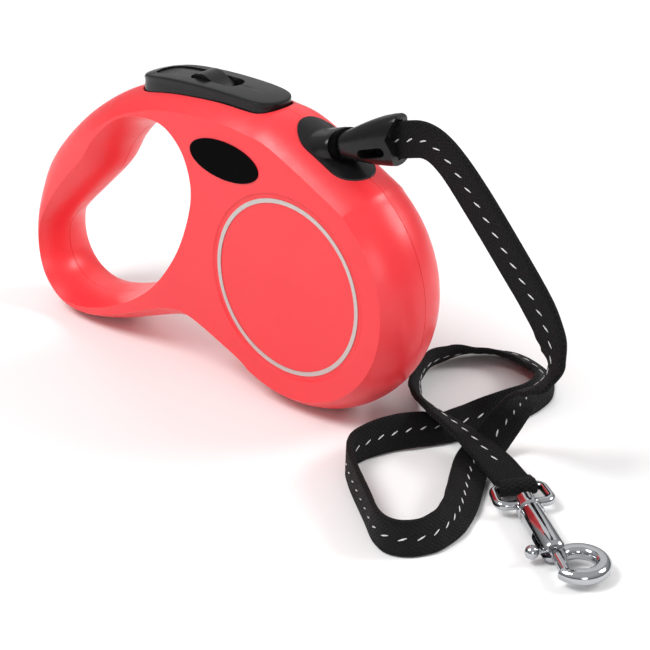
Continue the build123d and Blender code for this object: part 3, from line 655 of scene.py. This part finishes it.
def webbing_material():
    """Black woven polyester: ribs across the strap, broken up by the warp, with painted shade in the weave's
    hollows and a fine fuzz.
    """
    mat, tree, shader = material("woven_polyester")
    uv = node(tree, "ShaderNodeUVMap", uv_map="weave")
    split = node(tree, "ShaderNodeSeparateXYZ")
    tree.links.new(uv.outputs["UV"], split.inputs["Vector"])

    def wave(source, period, phase=None):
        turns = node(tree, "ShaderNodeMath", operation="MULTIPLY")
        turns.inputs[1].default_value = 2 * math.pi * 100 / period
        tree.links.new(source, turns.inputs[0])
        value = turns.outputs[0]
        if phase is not None:
            add = node(tree, "ShaderNodeMath", operation="ADD")
            tree.links.new(value, add.inputs[0])
            tree.links.new(phase, add.inputs[1])
            value = add.outputs[0]
        sine = node(tree, "ShaderNodeMath", operation="SINE")
        tree.links.new(value, sine.inputs[0])
        return sine.outputs[0]

    # each warp column is half a rib out of step with its neighbour
    column = node(tree, "ShaderNodeMath", operation="MULTIPLY")
    column.inputs[1].default_value = math.pi
    stepper = node(tree, "ShaderNodeMath", operation="FLOOR")
    scaled = node(tree, "ShaderNodeMath", operation="MULTIPLY")
    scaled.inputs[1].default_value = 100 / 0.75
    tree.links.new(split.outputs["Y"], scaled.inputs[0])
    tree.links.new(scaled.outputs[0], stepper.inputs[0])
    tree.links.new(stepper.outputs[0], column.inputs[0])
    ribs = wave(split.outputs["X"], 1.5, column.outputs[0])
    warp = wave(split.outputs["Y"], 0.75)
    absolute = node(tree, "ShaderNodeMath", operation="ABSOLUTE")
    tree.links.new(warp, absolute.inputs[0])
    height = node(tree, "ShaderNodeMath", operation="MULTIPLY_ADD")
    height.inputs[1].default_value = 0.5
    tree.links.new(ribs, height.inputs[0])
    tree.links.new(absolute.outputs[0], height.inputs[2])
    bump(tree, shader, height.outputs[0], 0.00022)
    # painted shade: the weave's low parts between ribs and warp are coloured darker than its raised parts
    shade = ramp(tree, height.outputs[0], 0.0, 1.0, -0.4, 1.2)
    tree.links.new(mix_colour(tree, shade, (0.0010, 0.0010, 0.0012), (0.0085, 0.0085, 0.0095)),
                   shader.inputs["Base Color"])
    tree.links.new(ramp(tree, noise(tree, 1500, 3), 0.62, 0.82), shader.inputs["Roughness"])
    shader.inputs["Sheen Weight"].default_value = 0.025
    shader.inputs["Sheen Roughness"].default_value = 0.45
    shader.inputs["Specular IOR Level"].default_value = 0.12
    return mat


def thread_material():
    mat, tree, shader = material("reflective_thread")
    tone = noise(tree, 1800, 3)
    colour = mix_colour(tree, tone, (0.42, 0.42, 0.44), (0.86, 0.86, 0.88))
    tree.links.new(colour, shader.inputs["Base Color"])
    tree.links.new(ramp(tree, noise(tree, 2500, 2), 0.3, 0.5), shader.inputs["Roughness"])
    shader.inputs["Metallic"].default_value = 0.25
    bump(tree, shader, noise(tree, 4000, 2), 0.00006)
    return mat


def floor_material():
    mat, tree, shader = material("pale_floor")
    tree.links.new(mix_colour(tree, noise(tree, 6, 2), (0.86, 0.86, 0.86), (0.90, 0.90, 0.90)),
                   shader.inputs["Base Color"])
    shader.inputs["Roughness"].default_value = 0.75
    return mat


RED = plastic("coral_red_shell", (0.80, 0.030, 0.040), (0.86, 0.040, 0.050), 0.36, 1400, 0.00003, 0.0, 0.15)
BLACK = plastic("black_satin_plastic", (0.006, 0.006, 0.0065), (0.010, 0.010, 0.011), 0.24, 1800, 0.00002,
                specular=0.24)
BLACK_GLOSS = plastic("black_gloss_print", (0.0018, 0.0018, 0.002), (0.003, 0.003, 0.0035), 0.3, 700, 0.00001,
                      specular=0.01)
ACETAL = plastic("natural_acetal", (0.66, 0.66, 0.63), (0.74, 0.74, 0.71), 0.42, 900, 0.00002)
STEEL = metal("zinc_plated_steel", (0.60, 0.60, 0.61), 0.28, 0.00001)
SILVER = metal("satin_silver_print", (0.62, 0.58, 0.56), 0.40, 0.00001, 1500)
CHROME = metal("polished_chrome", (0.50, 0.51, 0.53), 0.09)
WEBBING = webbing_material()
THREAD = thread_material()

NODE_MATERIALS = {
    BLACK: ["brake_button", "lock_slider", "connector_body", "outlet_insert"],
    BLACK_GLOSS: ["near_badge", "far_badge", "soft_stop"],
    ACETAL: ["spool", "ratchet_flange", "spring_cover", "thrust_washer"],
    STEEL: ["shell_screws", "axle", "guide_pin", "connector_pin", "brake_pawl", "button_spring",
            "bolt_spring", "power_spring", "tape_anchor"],
    SILVER: ["near_ring", "far_ring"],
    CHROME: ["swivel_eye", "hook_body", "hook_bolt", "thumb_knob"],
}


def dress(obj, mat):
    obj.data.materials.clear()
    obj.data.materials.append(mat)


for mat, names in NODE_MATERIALS.items():
    for name in names:
        dress(NODES[name], mat)
for name in ("wound_tape", "tape_feed", "tape_run"):
    dress(NODES[name], plastic("tape_" + name, (0.010, 0.010, 0.011), (0.022, 0.022, 0.024), 0.6, 2600,
                               0.0001))

# ---------------------------------------------------------------- lofted pieces
def superellipse(half_u, half_v, power, count=72):
    """Points round a squared ellipse."""
    made = []
    for k in range(count):
        c, s = math.cos(math.tau * k / count), math.sin(math.tau * k / count)
        made.append((math.copysign(abs(c) ** (2 / power), c) * half_u,
                     math.copysign(abs(s) ** (2 / power), s) * half_v))
    return made


def loft(name, rows, sharp=35):
    """A closed solid through rows of points of the same count."""
    count = len(rows[0])
    verts = [v for row in rows for v in row]
    faces = []
    for r in range(len(rows) - 1):
        for i in range(count):
            j = (i + 1) % count
            faces.append([r * count + i, r * count + j, (r + 1) * count + j, (r + 1) * count + i])
    faces.append(list(range(count))[::-1])
    faces.append(list(range(len(verts) - count, len(verts))))
    return mesh_object(name, verts, faces, sharp)


# ---------------------------------------------------------------- bolt snap
HOOK_AT = (100.9, -15.9, -42.65)
HOOK_ANGLE = math.radians(-37)
RING_X, RING_Y = 34.0, 5.5         # middle of the bow
RING_SECTION = [(1.0, 0.0), (0.97, 0.3), (0.82, 0.62), (0.55, 0.9), (0.4, 1.0), (-0.45, 1.0),
                (-0.68, 0.88), (-0.92, 0.5), (-1.0, 0.0), (-0.92, -0.5), (-0.6, -0.92), (-0.3, -1.0),
                (0.3, -1.0), (0.65, -0.9), (0.92, -0.5)]
RING_OUTSIDE = 9.5                 # radius of the bow's outer edge
BARREL = [(1.0, 3.3), (1.25, 3.9), (1.6, 4.2), (2.8, 4.2), (3.1, 3.95), (3.4, 3.6), (3.8, 3.6), (4.1, 3.85),
          (4.6, 3.98), (25.6, 3.98), (26.6, 3.75), (27.2, 3.2)]
EYE_BAR = -11.5                    # the eye's cross bar, along the barrel
FOLD_R = 2.6
FOLD_SIDES = [(-6.0, 0.82), (-5.8, 0.95), (-5.4, 1.0), (-2.7, 1.0), (0, 1.0), (2.7, 1.0), (5.4, 1.0),
              (5.8, 0.95), (6.0, 0.82)]


def on_hook(along, side=0.0, up=0.0):
    """A point given along the snap's barrel, sideways from it and upwards."""
    c, s = math.cos(HOOK_ANGLE), math.sin(HOOK_ANGLE)
    return at(HOOK_AT[0] + along * c - side * s, HOOK_AT[1] + along * s + side * c, HOOK_AT[2] + up)


def barrel_rows(stations, count=48):
    return [[on_hook(along, r * math.cos(math.tau * k / count), r * math.sin(math.tau * k / count))
             for k in range(count)] for along, r in stations]


def ring_rows():
    """The hook's bow: widest opposite the gate, flat on top with bevelled edges."""
    rows = []
    steps = 80
    for k in range(steps + 1):
        angle = math.radians(-62 + 284 * k / steps)
        ease = smoothstep(min(k / 12, 1))
        wide = lerp(1.7, 2.55, ease)
        high = lerp(1.75, 2.15, ease)
        middle = RING_OUTSIDE - wide
        row = []
        for u, v in RING_SECTION:
            radius = middle + u * wide
            row.append(on_hook(RING_X + radius * math.cos(angle), RING_Y + radius * math.sin(angle),
                               v * high))
        rows.append(row)
    return rows


def make_snap():
    """The snap's barrel and bow, bored for the bolt and the swivel's stub."""
    bow = loft("snap_bow", ring_rows(), 30)
    barrel = loft("snap_barrel", barrel_rows(BARREL))
    gate = [[on_hook(x, y, z) for y, z in ((-9, -5), (2.4, -5), (2.4, 5), (-9, 5))] for x in (28.05, 36.9)]
    cut(bow, loft("gate_way", gate))
    for piece in (bow, barrel):
        cut(piece, loft("bolt_way", barrel_rows([(6.0, 1.85), (39.5, 1.85)], 32)))
    cut(barrel, loft("neck_way", barrel_rows([(0.5, 1.95), (7.0, 1.95)], 32)))
    cut(barrel, loft("head_way", barrel_rows([(4.1, 2.75), (6.0, 2.75)], 32)))
    slot = [[on_hook(x, y, z) for y, z in ((0, -1.35), (0, 1.35), (-8, 1.35), (-8, -1.35))]
            for x in (16.7, 29.0)]
    cut(barrel, loft("thumb_way", slot))
    for piece in (bow, barrel):
        finish_mesh(piece.data, 32)
        dress(piece, CHROME)
        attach(piece, "hook")
    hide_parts("hook_body")
    return [bow, barrel]


def make_fold():
    """The webbing's end, folded round the cross bar of the snap's eye."""
    section = [(-16.8, -WEB_T)]
    for degrees in range(-38, 219, 16):
        turn = math.radians(degrees)
        section.append((EYE_BAR + FOLD_R * math.sin(turn), -FOLD_R * math.cos(turn)))
    section.append((-16.8, WEB_T))
    rows = [[on_hook(x, side, z * grow) for x, z in section] for side, grow in FOLD_SIDES]
    fold = loft("webbing_fold", rows, 50)
    layer = fold.data.uv_layers.new(name="weave")
    arc = [0.0]
    for p, q in zip(section, section[1:]):
        arc.append(arc[-1] + math.hypot(q[0] - p[0], q[1] - p[1]))
    count = len(section)
    for corner in fold.data.loops:
        row, place = divmod(corner.vertex_index, count)
        layer.data[corner.index].uv = (arc[place] * 0.01, (row - 4) * 1.5 * 0.01)
    dress(fold, WEBBING)
    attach(fold, "leash")
    return fold


# ---------------------------------------------------------------- the lead
WEB_FRAMES = ribbon_frames(webbing_route())
webbing = webbing_mesh("webbing", WEB_FRAMES)
dress(webbing, WEBBING)
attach(webbing, "leash")
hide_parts("webbing_strap")
stitches = stitch_mesh("reflective_stitches", WEB_FRAMES)
dress(stitches, THREAD)
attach(stitches, "leash")
FITTINGS = [NODES[name] for name in ("swivel_eye", "hook_bolt", "thumb_knob", "bolt_spring")]
[make_fold(), stitches] + make_snap() + FITTINGS


# ---------------------------------------------------------------- moulded shells
CAVITY_R = 37.4
CAVITY_HALF = 13.0
BUTTON_EDGE = [(-75.4, 0), (-74.5, -3.6), (-71.8, -6.5), (-67.5, -8.1), (-60, -8.9), (-46, -9.2),
               (-34, -9.15), (-24, -8.9), (-18.2, -8.0), (-15.0, -5.6), (-13.5, -2.8), (-13.1, 0)]
BUTTON_GAP = 0.4
SCREWS = [(-112, 10), (-92, -40), (-45.5, 41.5), (-50, -25)]
SCREW_HEAD_R = 2.5


def button_loop(grow=0.0, count=120):
    """The button's edge seen from above, anticlockwise."""
    ring = BUTTON_EDGE + [(x, -y) for x, y in BUTTON_EDGE[-2:0:-1]]
    loop = resample(smooth_curve(ring, True), count, True)
    middle = Vector((-44, 0))
    made = []
    for k, p in enumerate(loop):
        run = (loop[(k + 1) % count] - loop[k - 1]).normalized()
        out = Vector((run.y, -run.x))
        made.append(p + out * (grow if out.dot(p - middle) > 0 else -grow))
    return made


def side_point(p, h):
    return at(p.x, h, p.y)


def level_point(p, h):
    return at(p.x, p.y, h)


def slot_loop(x0, x1, half, count=64):
    """A stadium lying along x, anticlockwise."""
    made = []
    for k in range(count):
        angle = math.tau * (k + 0.5) / count
        end = x1 - half if math.cos(angle) > 0 else x0 + half
        made.append(Vector((end + half * math.cos(angle), half * math.sin(angle))))
    return made


def swollen(obj, grow):
    """Moves every vertex out along its normal."""
    for v, normal in [(v, v.normal.copy()) for v in obj.data.vertices]:
        v.co += normal * grow * MM
    return obj


def make_shells():
    patches = []
    for side, sign in (("near", -1), ("far", 1)):
        half = shell(side + "_shell_moulded", sign)
        patch = half.copy()
        patch.data = half.data.copy()
        bpy.context.scene.collection.objects.link(patch)
        patches.append(swollen(patch, 0.55))
        cut(half, prism("cavity", circle(CAVITY_R, 96), -CAVITY_HALF, CAVITY_HALF, side_point))
        cut(half, prism("well", button_loop(BUTTON_GAP), 46.0, 75.0, level_point))
        if sign > 0:
            for x, y in SCREWS:
                cut(half, prism("screw_way", circle(SCREW_HEAD_R, 32, x, y), 6.0, 20.0, side_point))
        finish_mesh(half.data, 32)
        dress(half, RED)
        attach(half, "housing")
        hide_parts(side + "_shell")
    return patches


# along the way out, half height, half depth, shift upwards
NOZZLE = [(-12, 9.4, 9.0, -3.6), (-7, 7.6, 8.7, -2.2), (-4, 6.4, 8.3, -1.1), (-2, 5.7, 8.0, -0.4),
          (-0.6, 5.4, 7.8, -0.1), (0.0, 5.0, 7.4, 0)]
CONNECTOR = [(3.05, 4.0, 5.6, 0), (3.3, 4.5, 6.1, 0), (4.5, 4.8, 6.3, 0), (8, 5.6, 6.5, 0),
             (12, 6.6, 6.5, 0), (16, 7.4, 6.3, 0), (20, 8.0, 5.9, 0), (24, 8.3, 5.2, 0),
             (26.4, 8.3, 4.6, 0), (27.2, 8.0, 4.1, 0)]
CONNECTOR_MOUTH = [(29, 8.6), (27.1, 8.6), (26.6, 6.6), (22.8, 1.2), (24.0, -2.4), (23.2, -5.6), (21.2, -9.5),
                   (29, -9.5)]


def outlet_rows(stations, power):
    """Sections square to the tape's way out: along, half height, half depth and a shift upwards."""
    return [[at(*on_outlet(along, v, u + shift)) for u, v in superellipse(high, deep, power)]
            for along, high, deep, shift in stations]


def outlet_prism(name, points, low, high):
    """A prism across the housing over points given along the tape's way out and upwards."""
    return prism(name, [Vector(p) for p in points], low, high, lambda p, h: at(*on_outlet(p.x, h, p.y)))


def make_insert(patches):
    """The black outlet insert: a skin over the housing's crown that runs up into the nozzle."""
    plan = slot_loop(-4.8, 22.9, 8.9, 96)
    for patch in patches:
        cut(patch, prism("plan", plan, 37.5, 75.0, level_point), "INTERSECT")
    nozzle = loft("nozzle", outlet_rows(NOZZLE, 2.3))
    for piece, name in zip(patches + [nozzle], ("insert_near", "insert_far", "insert_nozzle")):
        cut(piece, outlet_prism(name + "_way", [(-20, -0.9), (3, -0.9), (3, 0.9), (-20, 0.9)], -6.5, 6.5))
        piece.name = name
        finish_mesh(piece.data, 40)
        dress(piece, BLACK)
        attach(piece, "housing")
    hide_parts("outlet_insert")


def make_connector():
    """The moulded grip that holds the webbing's end: waisted, swelling towards a notched mouth."""
    body = loft("connector_moulded", outlet_rows(CONNECTOR, 2.5))
    cut(body, outlet_prism("mouth", CONNECTOR_MOUTH, -9, 9))
    cut(body, outlet_prism("webbing_way", [(13, -6.3), (29, -6.3), (29, 6.3), (13, 6.3)], -1.35, 1.35))
    window = [(p.x, p.y * 0.85 - 2.4) for p in slot_loop(11.0, 21.5, 1.9, 40)]
    cut(body, outlet_prism("window", window, -9, 0))
    cut(body, outlet_prism("tape_way", [(2, -0.7), (15, -0.7), (15, 0.7), (2, 0.7)], -6.1, 6.1))
    finish_mesh(body.data, 38)
    dress(body, BLACK)
    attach(body, "leash")
    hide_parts("connector_body")


BUTTON_FOOT = (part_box("brake_button")[0].z - AXLE.z) / MM
SPRING_PLACE = ((centre("button_spring") - AXLE).x / MM, 0)
SPINE = (-66.5, -23.0)             # the crown's rows shrink towards this line
# inset from the edge, share of what is left, drop below the crown; the first row is the foot
BUTTON_ROWS = [(0.0, 1, None), (0.05, 1, 4.0), (0.25, 1, 2.6), (0.2, 1, 1.5), (0.05, 1, 0.9), (0.15, 1, 0.45),
               (0.55, 1, 0.12), (1.2, 1, 0.0), (1.2, 0.8, -0.12), (1.2, 0.6, -0.22), (1.2, 0.4, -0.3),
               (1.2, 0.2, -0.34), (1.2, 0.02, -0.35)]
PANEL_END = -65.4                  # middle of the panel's round end
PANEL_R = 4.9
BUTTON_TOP = smooth_curve([(-76, 53.9), (-75, 54.4), (-62, 57.2), (-46, 58.5), (-28, 58.7), (-12, 57.8)],
                          False)


def button_top(x):
    for a, b in zip(BUTTON_TOP, BUTTON_TOP[1:]):
        if x <= b[0]:
            t = (x - a[0]) / (b[0] - a[0])
            return a[1] + (b[1] - a[1]) * max(min(t, 1), 0)
    return BUTTON_TOP[-1][1]


def make_button():
    """The brake button: a crowned top with a rolled edge over hollowed flanks."""
    edge = button_loop(-0.15)
    rows = []
    for inset, share, drop in BUTTON_ROWS:
        row = []
        for p in edge:
            spine = Vector((min(max(p.x, SPINE[0]), SPINE[1]), 0))
            reach = (p - spine).length
            q = spine + (p - spine) * (1 - inset / reach) * share
            level = BUTTON_FOOT if drop is None else max(button_top(q.x) - drop, BUTTON_FOOT + 0.2)
            row.append(at(q.x, q.y, level))
        rows.append(row)
    body = loft("button_moulded", rows)
    cut(body, prism("track", slot_loop(-54.2, -32.5, 4.2), 55.2, 75.0, level_point))
    panel = []
    for k in range(25):
        x = -70.3 + 21.0 * k / 24
        half = max(PANEL_R * math.sqrt(max(1 - min((x - PANEL_END) / PANEL_R, 0) ** 2, 0)), 0.3)
        floor_level = button_top(x) - 0.35
        panel.append([at(x, -half, floor_level), at(x, half, floor_level), at(x, half, 75), at(x, -half, 75)])
    cut(body, loft("panel", panel))
    cut(body, prism("spring_room", circle(3.3, 40, *SPRING_PLACE), 40.0, 52.8, level_point))
    finish_mesh(body.data, 35)
    dress(body, BLACK)
    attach(body, "button")
    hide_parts("brake_button")


make_insert(make_shells())
make_connector()
make_button()

# ---------------------------------------------------------------- floor and light
FLOOR_R = 3000.0


def floor_point(p, h):
    return Vector((p.x * MM, p.y * MM, AXLE.z + (FLOOR + h) * MM))


floor = prism("floor", circle(FLOOR_R, 96), -3.0, -0.05, floor_point)
dress(floor, floor_material())
make_world(0.62)
make_light("key", (-0.35, -0.8, 1.2), 0.7, 15)
make_light("rim", (0.75, 0.75, 0.75), 0.5, 7)
make_light("top_back", (-0.75, 0.85, 0.72), 1.3, 1.7)
make_light("low_side", (0.9, -0.65, 0.35), 0.35, 2.2)
bpy.context.scene.view_settings.view_transform = "Standard"
